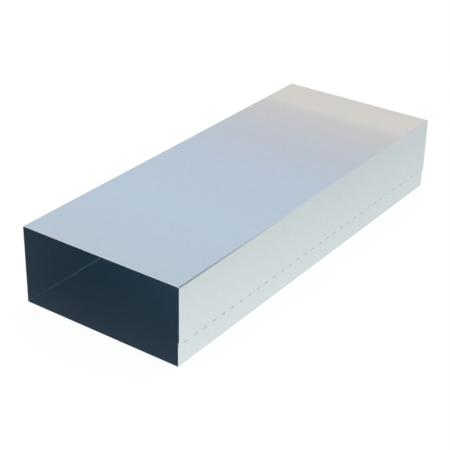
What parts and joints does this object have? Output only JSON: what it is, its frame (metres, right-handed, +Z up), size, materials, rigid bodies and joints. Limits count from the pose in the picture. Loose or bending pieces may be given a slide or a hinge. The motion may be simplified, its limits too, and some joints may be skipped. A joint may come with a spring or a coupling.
{
  "type": "flat channel duct",
  "caption": "Straight flat rectangular air duct bent from one galvanised steel sheet, open at both ends and closed along one side wall by a snap-lock seam with punched buttons.",
  "frame": {"origin": "on the floor under the middle of the duct", "axes": "+X across the duct towards the seamed wall, +Y along the duct from the near end to the far end, +Z up"},
  "size_m": [0.2, 0.5, 0.09],
  "materials": {
    "galvanised_steel": "hot-dip zinc coating, fine spangle, smooth and half bright"
  },
  "bodies": {
    "root": {"duct_channel": "galvanised_steel"}
  },
  "joints": []
}
